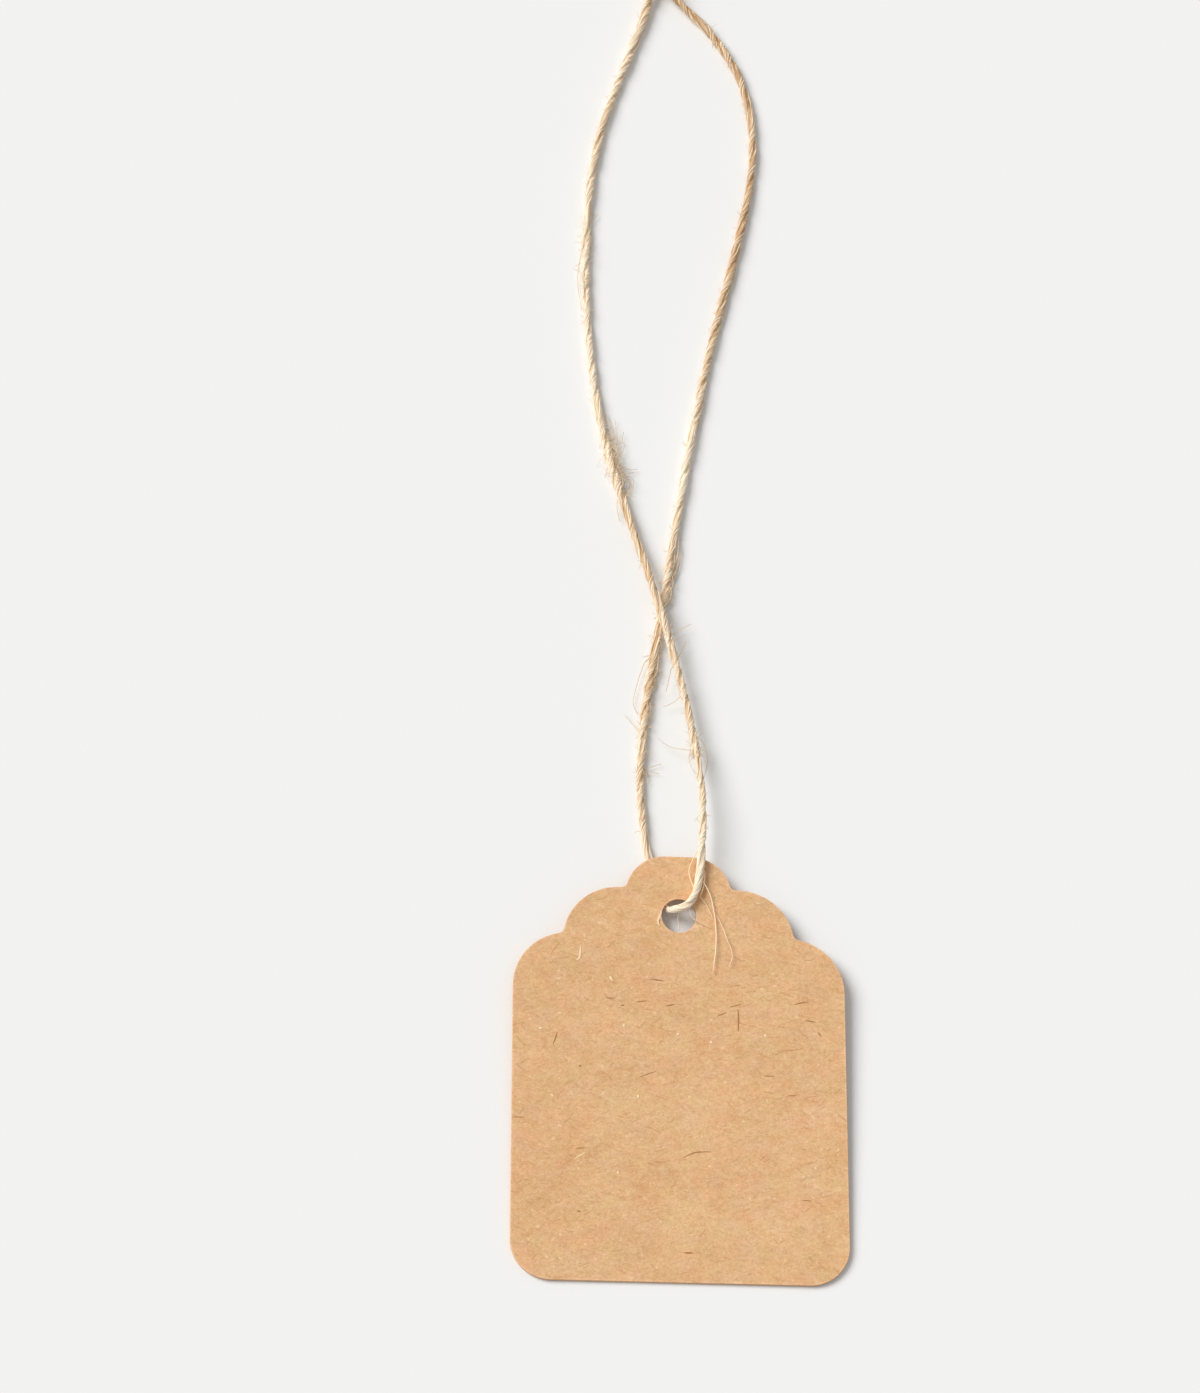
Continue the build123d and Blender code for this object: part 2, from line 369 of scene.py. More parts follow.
class CardSettings(bpy.types.PropertyGroup):
    """Sizes and colours of the die-cut card"""

    edge_roll: FloatProperty(
        name="Edge Roll", description="Radius that the cutting die leaves on the card's edges",
        default=0.00005, min=0, unit="LENGTH")
    # The pale border is a painted highlight along the card's edges.
    rim: FloatProperty(
        name="Rim", description="Width of the paler, rubbed border along the card's edges",
        default=0.0002, min=0, unit="LENGTH")
    bow: FloatProperty(
        name="Bow", description="How far the card's long sides curl up from its middle line",
        default=0.00015, unit="LENGTH")
    grid: FloatProperty(
        name="Grid", description="Spacing of the cuts that let the card bow",
        default=0.002, min=0.0005, unit="LENGTH")
    kraft: FloatVectorProperty(
        name="Kraft", description="Usual colour of the kraft board",
        default=(0.770, 0.466, 0.240), size=3, subtype="COLOR", min=0, max=1)
    bark: FloatVectorProperty(
        name="Bark Fibre", description="Colour of the dark fibres in the board",
        default=(0.46, 0.205, 0.070), size=3, subtype="COLOR", min=0, max=1)
    fleck: FloatVectorProperty(
        name="Fleck", description="Colour of the pale fibres in the board",
        default=(0.97, 0.70, 0.43), size=3, subtype="COLOR", min=0, max=1)
    fibre_width: FloatProperty(
        name="Fibre Width", description="Width of a fibre pressed into the face",
        default=0.00010, min=0, unit="LENGTH")


class TwineSettings(bpy.types.PropertyGroup):
    """Sizes and colours of the two-ply jute twine"""

    diameter: FloatProperty(
        name="Diameter", description="Width of the twine",
        default=0.001, min=0.0003, unit="LENGTH")
    pitch: FloatProperty(
        name="Pitch", description="Length of twine in which a ply goes once round",
        default=0.0104, min=0.001, unit="LENGTH")
    strands: IntProperty(
        name="Strands", description="Fibre strands on the outside of each ply",
        default=8, min=3)
    step: FloatProperty(
        name="Step", description="Distance between the rings of a strand",
        default=0.0004, min=0.0001, unit="LENGTH")
    straw: FloatVectorProperty(
        name="Straw", description="Colour of the pale fibres",
        default=(0.94, 0.75, 0.52), size=3, subtype="COLOR", min=0, max=1)
    tan: FloatVectorProperty(
        name="Tan", description="Colour of the dark fibres",
        default=(0.48, 0.255, 0.10), size=3, subtype="COLOR", min=0, max=1)
    bleached: FloatVectorProperty(
        name="Bleached", description="Colour of the palest, most rubbed fibres",
        default=(0.97, 0.87, 0.72), size=3, subtype="COLOR", min=0, max=1)
    # Paler than the short hairs: painted light, for the light that shines through these thin fibres.
    floss: FloatVectorProperty(
        name="Floss", description="Colour of the long loose fibres over the card",
        default=(0.99, 0.78, 0.50), size=3, subtype="COLOR", min=0, max=1)
    hairs: IntProperty(
        name="Hairs", description="Short loose fibres along the whole twine",
        default=760, min=0)
    hair_width: FloatProperty(
        name="Hair Width", description="Width of a short loose fibre",
        default=0.000055, min=0, unit="LENGTH")
    long_hair_width: FloatProperty(
        name="Long Hair Width", description="Width of a long loose fibre",
        default=0.000105, min=0, unit="LENGTH")


class StageSettings(bpy.types.PropertyGroup):
    """The floor, the light and the camera"""

    floor: FloatVectorProperty(
        name="Floor", description="Colour of the floor",
        default=(0.90, 0.90, 0.89), size=3, subtype="COLOR", min=0, max=1)
    key: FloatProperty(
        name="Key Light", description="Key lamp's light on a surface that faces it, in W/m2",
        default=2.72)
    key_spread: FloatProperty(
        name="Key Spread", description="How wide the key lamp looks from the tag; wider is softer",
        default=math.radians(36), subtype="ANGLE")
    sky: FloatProperty(
        name="Sky", description="Strength of the even light from all round",
        default=0.43)
    backdrop: FloatProperty(
        name="Backdrop", description="Brightness of the background beyond the floor",
        default=0.9)
    lens: FloatProperty(
        name="Lens", description="Focal length of the camera, in millimetres",
        default=103.42, unit="CAMERA")


def node(tree, kind, inputs=None, **settings):
    """A shader node with its settings made and its inputs linked or set."""
    made = tree.nodes.new(kind)
    for name, value in settings.items():
        setattr(made, name, value)
    for key, value in (inputs or {}).items():
        if isinstance(value, bpy.types.NodeSocket):
            tree.links.new(value, made.inputs[key])
        else:
            made.inputs[key].default_value = value
    return made


def maths(tree, operation, *values):
    """The result of one operation on shader values, each a link or a number."""
    return node(tree, "ShaderNodeMath", dict(enumerate(values)), operation=operation).outputs[0]


def product(tree, first, *others):
    """Shader values multiplied together."""
    for value in others:
        first = maths(tree, "MULTIPLY", first, value)
    return first


def from_half(tree, value):
    """A shader value with a half taken away."""
    return maths(tree, "SUBTRACT", value, 0.5)


def scaled(tree, vector, scale, offset=(0, 0, 0)):
    """A vector scaled along each axis, then moved."""
    inputs = {"Vector": vector, "Scale": scale, "Location": offset}
    return node(tree, "ShaderNodeMapping", inputs).outputs[0]


def on_piece(tree, scale):
    """Places on the piece, as they lie in the frame, times a scale."""
    places = node(tree, "ShaderNodeTexCoord").outputs["Object"]
    return scaled(tree, places, (scale, scale, scale))


def noise(tree, vector, detail=2.0, roughness=0.5):
    """Cloudy noise, about 0 to 1, with clouds about one unit of the vector across."""
    inputs = {"Vector": vector, "Scale": 1.0, "Detail": detail, "Roughness": roughness}
    return node(tree, "ShaderNodeTexNoise", inputs).outputs[0]


def eased(tree, value, low, high):
    """1 below low, 0 above high, and smooth between them."""
    inputs = {"Value": value, "From Min": low, "From Max": high, "To Min": 1.0, "To Max": 0.0}
    return node(tree, "ShaderNodeMapRange", inputs, interpolation_type="SMOOTHSTEP").outputs[0]


def mixed(tree, factor, first, second):
    """A mix of two colours, each a link or three numbers: the first at 0, the second at 1."""
    made = node(tree, "ShaderNodeMix", {0: factor}, data_type="RGBA")
    # The node has inputs and outputs for other kinds of value too: a colour's are 6, 7 and 2.
    for index, value in ((6, first), (7, second)):
        if isinstance(value, bpy.types.NodeSocket):
            tree.links.new(value, made.inputs[index])
        else:
            made.inputs[index].default_value = (*value, 1)
    return made.outputs[2]


def tinted(tree, colour, tint):
    """A colour multiplied by a tint."""
    return node(tree, "ShaderNodeVectorMath", {0: colour, 1: tint}, operation="MULTIPLY").outputs[0]


def new_material(name):
    """A new material, its node tree and its surface shader."""
    material = bpy.data.materials.new(name)
    material.use_nodes = True
    return material, material.node_tree, material.node_tree.nodes["Principled BSDF"]


def set_surface(tree, shader, colour, roughness, specular=0.5, sheen=0.0):
    """Link a colour to a surface shader and set how the surface shines."""
    tree.links.new(colour, shader.inputs["Base Color"])
    shader.inputs["Roughness"].default_value = roughness
    shader.inputs["Specular IOR Level"].default_value = specular
    shader.inputs["Sheen Weight"].default_value = sheen


def relief(tree, shader, height, strength, distance):
    """Give a surface shader fine relief from a height."""
    bump = node(tree, "ShaderNodeBump", {"Height": height, "Strength": strength, "Distance": distance})
    tree.links.new(bump.outputs[0], shader.inputs["Normal"])


def fibre_mask(tree, place, cell, length, width, share, spread, seed):
    """Short curved fibres scattered over a face, one at most in each cell. Sizes are in millimetres,
    share is how many cells have a fibre and spread is how much the fibres' angles differ."""
    spot = scaled(tree, place, (1 / cell, 1 / cell, 0), (seed, seed * 1.7, 0))
    cells = node(tree, "ShaderNodeTexVoronoi", {"Vector": spot, "Scale": 1.0}, voronoi_dimensions="2D")
    luck = node(tree, "ShaderNodeSeparateColor", {0: cells.outputs["Color"]})
    ends = {0: spot, 1: cells.outputs["Position"]}
    offset = node(tree, "ShaderNodeVectorMath", ends, operation="SUBTRACT")
    angle = product(tree, from_half(tree, luck.outputs[0]), spread)
    turn = {"Vector": offset.outputs[0], "Angle": angle}
    turned = node(tree, "ShaderNodeVectorRotate", turn, rotation_type="Z_AXIS")
    local = node(tree, "ShaderNodeSeparateXYZ", {0: turned.outputs[0]})
    along, across = local.outputs[0], local.outputs[1]
    bend = product(tree, along, along, from_half(tree, luck.outputs[1]))
    from_line = maths(tree, "ABSOLUTE", maths(tree, "SUBTRACT", across, bend))
    half_length = product(tree, maths(tree, "ADD", luck.outputs[1], 0.5), length / cell / 2)
    reach = maths(tree, "DIVIDE", maths(tree, "ABSOLUTE", along), half_length)
    thin = eased(tree, from_line, 0.1 * width / cell, 0.7 * width / cell)
    tapered = eased(tree, reach, 0.4, 1.0)
    strength = eased(tree, luck.outputs[2], 0.0, share)
    return product(tree, thin, tapered, strength)


def kraft_material(s):
    """Kraft board: soft clouds, a streaky grain across the card, and bark and pale fibres."""
    material, tree, shader = new_material("kraft_board")
    place = on_piece(tree, 1000)
    cloud = noise(tree, scaled(tree, place, (0.11, 0.16, 0.1), (1.1, 0.4, 0)), 2.0)
    blotch = noise(tree, scaled(tree, place, (0.62, 0.90, 1.0)), 3.0, 0.65)
    grain = noise(tree, scaled(tree, place, (2.0, 2.8, 2.0)), 3.0, 0.65)
    tooth = noise(tree, scaled(tree, place, (4.5, 5.5, 5.0)), 2.0)
    tone = -1.13
    for layer, weight in ((tooth, 1.0), (grain, 1.0), (blotch, 0.8), (cloud, 0.45)):
        tone = maths(tree, "MULTIPLY_ADD", layer, weight, tone)
    red, green, blue = s.kraft
    darkest = (red * 0.80, green * 0.71, blue * 0.60)
    palest = (red * 1.17, green * 1.26, blue * 1.36)
    colour = mixed(tree, tone, darkest, palest)
    ruddy = noise(tree, scaled(tree, place, (0.35, 0.45, 0.5), (7, 3, 0)), 3.0, 0.6)
    yellow = noise(tree, scaled(tree, place, (0.45, 0.55, 0.5), (1, 9, 0)), 3.0, 0.6)
    for patch, low, high in ((ruddy, (0.935, 1.075, 1.11), (1.065, 0.925, 0.89)),
                             (yellow, (1.0, 0.965, 1.10), (1.0, 1.035, 0.90))):
        colour = tinted(tree, colour, mixed(tree, patch, low, high))
    for cell, length, width, share, spread, seed, strength, ink in (
            (1.05, 1.0, 0.17, 0.65, 1.6, 3.1, 0.34, s.bark),
            (1.70, 1.6, 0.15, 0.50, 1.8, 12.6, 0.45, s.bark),
            (4.30, 2.4, 0.13, 0.25, 2.4, 8.4, 0.60, s.bark),
            (1.90, 0.45, 0.24, 0.40, 3.1, 5.7, 0.60, s.fleck)):
        mask = fibre_mask(tree, place, cell, length, width, share, spread, seed)
        colour = mixed(tree, product(tree, mask, strength, grain, 2.0), colour, ink)
    # A painted highlight: a paler border, in patches, along the card's edges.
    rim = node(tree, "ShaderNodeAttribute", attribute_name="rim").outputs["Fac"]
    outer_paling_and_painted_light = mixed(tree, product(tree, rim, blotch, 2.0), (1, 1, 1), (1.10, 1.10, 1.22))
    set_surface(tree, shader, tinted(tree, colour, outer_paling_and_painted_light), roughness=0.88, specular=0.25)
    relief(tree, shader, tone, strength=0.35, distance=0.00004)
    return material


def cut_material(s):
    """The raw cut through the board: layered, rougher than its face and a little darker."""
    material, tree, shader = new_material("kraft_cut_edge")
    layers = noise(tree, scaled(tree, on_piece(tree, 1000), (3.0, 3.0, 16.0)), 3.0)
    kraft = Vector(s.kraft)
    layered = mixed(tree, layers, kraft * 0.74, kraft * 1.06)
    set_surface(tree, shader, layered, roughness=0.95, specular=0.15)
    relief(tree, shader, layers, strength=0.6, distance=0.00005)
    return material


def fibre_material(name, colour):
    """A flat fibre in the board, a little uneven in tone."""
    material, tree, shader = new_material(name)
    patches = noise(tree, on_piece(tree, 2500))
    usual = Vector(colour)
    uneven = mixed(tree, patches, usual * 0.8, usual * 1.15)
    set_surface(tree, shader, uneven, roughness=0.85)
    return material


def jute_material(s):
    """Jute fibre: straw and tan streaks along each strand, with a soft sheen."""
    material, tree, shader = new_material("jute_fibre")
    # The tone holds painted light and shade along the twine and in its grooves, as well as the fibres'
    # own tone.
    tone = node(tree, "ShaderNodeAttribute", attribute_name="tone").outputs["Fac"]
    lengthwise = node(tree, "ShaderNodeAttribute", attribute_name="fibre").outputs["Vector"]
    streak = noise(tree, scaled(tree, lengthwise, (1.9, 1.9, 420.0)), 4.0, 0.6)
    blend = maths(tree, "MULTIPLY_ADD", streak, 1.7, maths(tree, "SUBTRACT", tone, 0.85))
    colour = mixed(tree, blend, s.tan, s.straw)
    colour = mixed(tree, maths(tree, "SUBTRACT", blend, 0.62), colour, s.bleached)
    set_surface(tree, shader, colour, roughness=0.75, specular=0.3, sheen=0.15)
    relief(tree, shader, streak, strength=0.8, distance=0.00004)
    return material


def hair_material(name, colour):
    """A single loose fibre, uneven along its length."""
    material, tree, shader = new_material(name)
    patches = noise(tree, on_piece(tree, 600))
    usual = Vector(colour)
    uneven = mixed(tree, patches, usual * 0.75, usual * 1.2)
    set_surface(tree, shader, uneven, roughness=0.6, sheen=0.2)
    return material


def add_object(name, data):
    """A new object in the scene for a mesh, a lamp or a camera."""
    made = bpy.data.objects.new(name, data)
    bpy.context.scene.collection.objects.link(made)
    return made


def add_piece(name, mesh, body, slot, *materials):
    """A finished piece that rides on a body, with the materials given. The slot is not used."""
    piece = add_object(name, mesh)
    for material in materials:
        mesh.materials.append(material)
    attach(piece, body)
    return piece


def mesh_of(curve):
    """The mesh that a curve makes. The curve itself is then removed."""
    holder = bpy.data.objects.new(curve.name, curve)
    mesh = bpy.data.meshes.new_from_object(holder)
    bpy.data.objects.remove(holder)
    bpy.data.curves.remove(curve)
    return mesh


def tubes(name, lines, width, materials, roundness=0, radii=None, kinds=None):
    """One mesh of closed tubes along lines of points. roundness gives the tubes more sides, radii scale
    the width at each point of a line, and kinds are the numbers of the lines' materials."""
    curve = bpy.data.curves.new(name, "CURVE")
    for material in materials:
        curve.materials.append(material)
    curve.dimensions = "3D"
    curve.bevel_depth = width / 2
    curve.bevel_resolution = roundness
    for index, line in enumerate(lines):
        spline = curve.splines.new("POLY")
        spline.points.add(len(line) - 1)
        flat = np.column_stack([np.asarray(line, float), np.ones(len(line))])
        spline.points.foreach_set("co", flat.ravel())
        if radii is not None:
            spline.points.foreach_set("radius", np.asarray(radii[index], float))
        if kinds is not None:
            spline.material_index = kinds[index]
    mesh = mesh_of(curve)
    mesh.name = name
    bm = bmesh.new()
    bm.from_mesh(mesh)
    caps = bmesh.ops.holes_fill(bm, edges=[e for e in bm.edges if e.is_boundary], sides=0)["faces"]
    for cap in caps:
        cap.material_index = max(face.material_index for face in cap.edges[0].link_faces)
    bmesh.ops.recalc_face_normals(bm, faces=bm.faces)
    bm.to_mesh(mesh)
    bm.free()
    mesh.shade_smooth()
    return mesh


def smooth_line(points, resolution):
    """Points along the smooth spline that a route controls."""
    curve = bpy.data.curves.new("route", "CURVE")
    curve.dimensions = "3D"
    curve.resolution_u = resolution
    spline = curve.splines.new("NURBS")
    spline.points.add(len(points) - 1)
    for point, place in zip(spline.points, points):
        point.co = (*place, 1)
    spline.order_u = 3
    spline.use_endpoint_u = True
    mesh = mesh_of(curve)
    line = np.array([v.co for v in mesh.vertices])
    bpy.data.meshes.remove(mesh)
    return line


def lengths_along(line):
    """The distance along a line to each of its points."""
    return np.concatenate([[0], np.cumsum(np.linalg.norm(np.diff(line, axis=0), axis=1))])


def evenly(line, step):
    """The same line with its points a step apart."""
    along = lengths_along(line)
    at = np.linspace(0, along[-1], int(along[-1] / step) + 1)
    return np.column_stack([np.interp(at, along, line[:, k]) for k in range(3)])


def nearest(line, place):
    """The number of the line's point that is nearest to a place, seen from above."""
    return int(np.argmin(np.hypot(line[:, 0] - place[0], line[:, 1] - place[1])))


def carried_frames(line):
    """A line's direction at each point, and two directions across it that turn as little as they can."""
    ahead = np.gradient(line, axis=0)
    ahead /= np.linalg.norm(ahead, axis=1)[:, None]
    side = np.zeros_like(ahead)
    side[0] = np.cross(ahead[0], (0, 0, 1))
    for i in range(1, len(line)):
        side[i] = side[i - 1] - ahead[i] * (side[i - 1] @ ahead[i])
        side[i] /= np.linalg.norm(side[i])
    side[0] /= np.linalg.norm(side[0])
    return ahead, side, np.cross(ahead, side)


def drift(along, rng, wavelength, reach):
    """A smooth random wander along the twine, about as far as reach to each side of 0."""
    total = np.zeros_like(along)
    for share in (1.0, 0.53, 0.29):
        start = rng.uniform(0, 6.28)
        total += math.sqrt(share) * np.sin(2 * math.pi * along / (wavelength * share) + start)
    return reach * (total / 2)


def bell(distance, half_length):
    """1 at the middle of a stretch, and falling smoothly to nothing past its half length."""
    return np.exp(-(distance / half_length) ** 2)


def mark_rim(bm, width):
    """Inset the card's two flat faces, and mark the border that this leaves with a value of 1."""
    faces = [f for f in bm.faces if abs(f.normal.z) > FLAT_FACE]
    bmesh.ops.inset_region(bm, faces=faces, thickness=width, use_even_offset=True, use_boundary=True)
    rim = bm.verts.layers.float.new("rim")
    for vertex in bm.verts:
        vertex[rim] = 1
    for face in faces:
        for vertex in face.verts:
            vertex[rim] = 0


def cut_across(bm, low, high, spacing):
    """Cut a mesh between two corners of its box into strips along X and along Y."""
    size = high - low
    for axis, normal in enumerate((Vector((1, 0, 0)), Vector((0, 1, 0)))):
        cuts = int(size[axis] / spacing)
        for cut in range(1, cuts):
            place = low + size * cut / cuts
            geometry = [*bm.verts, *bm.edges, *bm.faces]
            bmesh.ops.bisect_plane(bm, geom=geometry, dist=CUT_DISTANCE, plane_co=place, plane_no=normal)


def make_card(s):
    """The card, from its solid, with rolled edges and cuts across it that let it bow."""
    bm = bmesh.new()
    bm.from_mesh(frame["nodes"]["tag_card"].data)
    bmesh.ops.remove_doubles(bm, verts=bm.verts, dist=MERGE_DISTANCE)
    bmesh.ops.dissolve_limit(bm, angle_limit=FLAT_ANGLE, verts=bm.verts, edges=bm.edges)
    corners = [e for e in bm.edges if e.calc_face_angle(0) > CORNER_ANGLE]
    bmesh.ops.bevel(bm, geom=corners, offset=s.edge_roll, offset_type="OFFSET", segments=2, profile=0.5,
                    affect="EDGES", material=-1)
    mark_rim(bm, s.rim)
    low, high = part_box("tag_card")
    cut_across(bm, low, high, s.grid)
    for face in bm.faces:
        face.smooth = True
        face.material_index = int(abs(face.normal.z) < CUT_EDGE)
    for vertex in bm.verts:
        vertex.co.z += s.bow * (vertex.co.x / high.x) ** 2
    mesh = bpy.data.meshes.new("kraft_card")
    bm.to_mesh(mesh)
    bm.free()
    mesh.set_sharp_from_angle(angle=SHARP_ANGLE)
    card = add_piece("kraft_card", mesh, "card", "kraft_card", kraft_material(s), cut_material(s))
    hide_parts("tag_card")


def card_surface():
    """A function that gives the height of the card's face at a place, or of the nearest edge to it."""
    bm = bmesh.new()
    bm.from_mesh(bpy.data.objects["kraft_card"].data)
    tree = BVHTree.FromBMesh(bm)
    bm.free()

    def height(x, y):
        above = Vector((x, y, ABOVE_CARD))
        return (tree.ray_cast(above, Vector((0, 0, -1)))[0] or tree.find_nearest(above)[0]).z
    return height


def make_card_fibres(s):
    """Bark fibres and pale flecks, pressed nearly flat into the card's face."""
    height = card_surface()
    lines, kinds, radii = [], [], []
    for kind, fibres in enumerate((BARK_FIBRES, PALE_FIBRES)):
        for thick, fibre in fibres:
            flat = smooth_line([(x, y, 0) for x, y in fibre], FIBRE_RESOLUTION)
            lines.append([(x, y, height(x, y)) for x, y, _ in flat])
            tapered = np.sin(np.linspace(0.15, math.pi - 0.15, len(flat)))
            radii.append(np.sqrt(tapered) * thick)
            kinds.append(kind)
    materials = fibre_material("bark_fibre", s.bark), fibre_material("pale_fibre", s.fleck)
    mesh = tubes("card_fibres", lines, s.fibre_width, materials, 1, radii, kinds)
    for vertex in mesh.vertices:
        face = height(vertex.co.x, vertex.co.y)
        vertex.co.z = face + (vertex.co.z - face) * PRESSED
    add_piece("card_fibres", mesh, "card", "kraft_card")


def knot_points(half_turn):
    """One end's way through the knot, from the loop to the cut end."""
    x, y = KNOT_PLACE
    points = []
    for radius, degrees, along in KNOT_TURN:
        angle = math.radians(degrees + half_turn)
        points.append((x + radius * math.cos(angle), y + along, KNOT_HEIGHT + radius * math.sin(angle)))
    return points


def twine_route():
    """The whole twine's route from one cut end to the other, as it lies in the frame."""
    left_end = [*knot_points(0), *LEFT_TAIL_ROUTE]
    right_end = [*knot_points(180), *RIGHT_TAIL_ROUTE]
    route = [*reversed(left_end), *LOOP_ROUTE, *right_end]
    return [(HOLE.x + x, HOLE.y + y, z) for x, y, z in route]


def uneven_twine(s, line, along, rng):
    """How the twine differs along its length: how frayed, slack and thick it is, how far its plies have
    turned, and how pale it is, which holds painted light and shade."""
    from_end = np.minimum(along, along[-1] - along)
    past_hole = along - along[nearest(line, HOLE)]
    fray = np.clip(1 - from_end / FRAY_LENGTH, 0, 1)
    slack = FRAY_SLACK * fray
    thick = USUAL_THICKNESS + drift(along, rng, wavelength=0.031, reach=0.07) + FRAY_THICKNESS * fray
    for place, half_length, _, _, reach, _ in WORN_STRETCHES:
        worn = bell(along - along[nearest(line, place)], half_length) * reach / s.diameter
        slack += WORN_SLACK * worn
        thick += WORN_THICKNESS * worn
    turn = 2 * math.pi * along / s.pitch
    turn += drift(along, rng, wavelength=0.05, reach=1.6)
    turn += drift(along, rng, wavelength=0.013, reach=0.5)
    # The run over the card is paler than the run under it: painted light on the run over the card, and
    # painted shade on the run under it.
    paler_with_painted_light = 0.13 - 0.16 * np.tanh(past_hole / 0.05) + drift(along, rng, wavelength=0.06, reach=0.10)
    for place, half_length, tone, thickness in UNEVEN_STRETCHES:
        near = bell(past_hole - place, half_length)
        paler_with_painted_light += tone * near
        thick += thickness * near
    return SimpleNamespace(fray=fray, slack=slack, thick=thick, turn=turn, paler_with_painted_light=paler_with_painted_light)


def twine_strands(s, line, rng):
    """The twine's strands. Each has its points, its widths against the usual strand, its tones, and the
    twine's middle and the distance along it at each point."""
    along = lengths_along(line)
    twine = uneven_twine(s, line, along, rng)
    _, side, up = carried_frames(line)
    strands = []

    def add_strand(points, width, tone, start_cut, end_cut):
        """Keep one strand, with a number of its rings cut off at each end."""
        kept = slice(start_cut, len(line) - end_cut)
        strands.append(SimpleNamespace(points=points[kept], width=width[kept], tone=tone[kept],
                                       middle=line[kept], along=along[kept]))

    middle_width = twine.thick * MIDDLE_WIDTH / STRAND_WIDTH
    core_width = twine.thick * CORE_WIDTH / STRAND_WIDTH
    core_tone = np.full(len(line), CORE_TONE)
    add_strand(line, middle_width, MIDDLE_TONE + twine.paler_with_painted_light, MIDDLE_CUT, MIDDLE_CUT)
    for ply in range(2):
        angle = (twine.turn + ply * math.pi)[:, None]
        outward = np.cos(angle) * side + np.sin(angle) * up
        across = np.cos(angle) * up - np.sin(angle) * side
        core = line + (PLY_OFFSET * s.diameter * twine.thick)[:, None] * outward
        add_strand(core, core_width, core_tone, CORE_CUT, CORE_CUT)
        for strand in range(s.strands):
            round_ply = 2 * math.pi * strand / s.strands + STRAND_TURNS * twine.turn
            round_ply += drift(along, rng, wavelength=0.011, reach=0.35)
            loose = 1 + drift(along, rng, wavelength=0.007, reach=0.14 + 0.5 * twine.slack)
            loose += rng.uniform(-0.2, 0.7) * twine.fray
            ring = s.diameter * twine.thick * loose
            depth = PLY_DEPTH * ring * np.cos(round_ply)
            breadth = PLY_BREADTH * ring * np.sin(round_ply)
            points = core + depth[:, None] * outward + breadth[:, None] * across
            width = 1 + drift(along, rng, wavelength=0.006, reach=0.2)
            width *= twine.thick - 0.6 * twine.fray
            tone = STRAND_TONE + twine.paler_with_painted_light + drift(along, rng, wavelength=0.02, reach=0.22)
            tone += rng.uniform(-0.30, 0.30)
            add_strand(points, width, tone, rng.randrange(STRAND_CUT), rng.randrange(STRAND_CUT))
    return strands


def paint_strands(mesh, strands, diameter):
    """Give each point of the twine its tone and its place along and round its strand."""
    rings = [len(strand.points) for strand in strands]
    sides = len(mesh.vertices) // sum(rings)

    def at_points(values):
        """The rings' values, repeated for each point of a ring."""
        return np.repeat(np.concatenate(values), sides, axis=0)

    places = np.array([v.co for v in mesh.vertices])
    from_middle = np.linalg.norm(places - at_points([strand.middle for strand in strands]), axis=1)
    # What stands proud of the twine is rubbed paler, and what lies deep in it is darker: wear on the
    # outside, and painted shade in the grooves between strands and plies.
    outer_paling_and_painted_light = RUBBING_AND_PAINTED_SHADE * (from_middle / diameter - USUAL_DEPTH)
    tone = at_points([strand.tone for strand in strands]) + outer_paling_and_painted_light
    mesh.attributes.new("tone", "FLOAT", "POINT").data.foreach_set("value", tone)
    angles = np.tile(np.arange(sides) * 2 * math.pi / sides, sum(rings))
    # Strands lie apart in the streaks' noise, so that no two have the same streaks.
    apart = at_points([np.full(count, STREAKS_APART * number) for number, count in enumerate(rings)])
    lengthwise = at_points([strand.along for strand in strands])
    fibre = np.column_stack([np.cos(angles) + apart, np.sin(angles), lengthwise])
    mesh.attributes.new("fibre", "FLOAT_VECTOR", "POINT").data.foreach_set("vector", fibre.ravel())


def make_twine(s):
    """The twine: two plies of fibre strands laid round each other along the route."""
    line = evenly(smooth_line(twine_route(), ROUTE_RESOLUTION), s.step)
    strands = twine_strands(s, line, random.Random(TWINE_SEED))
    lines = [strand.points for strand in strands]
    radii = [strand.width for strand in strands]
    mesh = tubes("jute_twine", lines, STRAND_WIDTH * s.diameter, [jute_material(s)], 1, radii)
    paint_strands(mesh, strands, s.diameter)
    for vertex in mesh.vertices:
        vertex.co.z = max(vertex.co.z, 0)
    twine = add_piece("jute_twine", mesh, "twine", "jute_twine")
    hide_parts("twine_loop", "twine_knot", "twine_tail_left", "twine_tail_right")
    return twine, line


def hair(start, direction, length, curl, rng, count=7):
    """A curling fibre that starts in the twine and stays above the table."""
    points, heading = [Vector(start)], Vector(direction).normalized()
    axis = Vector((rng.gauss(0, 1), rng.gauss(0, 1), rng.gauss(0, 1))).normalized()
    for _ in range(count - 1):
        heading = Matrix.Rotation(curl / (count - 1) * rng.uniform(0.5, 1.5), 3, axis) @ heading
        place = points[-1] + heading * length / (count - 1)
        place.z = max(place.z, HAIR_HEIGHT)
        points.append(place)
    return points


def any_way_out(side, up, rng):
    """A random direction out of the twine."""
    angle = rng.uniform(0, 2 * math.pi)
    return Vector(math.cos(angle) * side + math.sin(angle) * up)


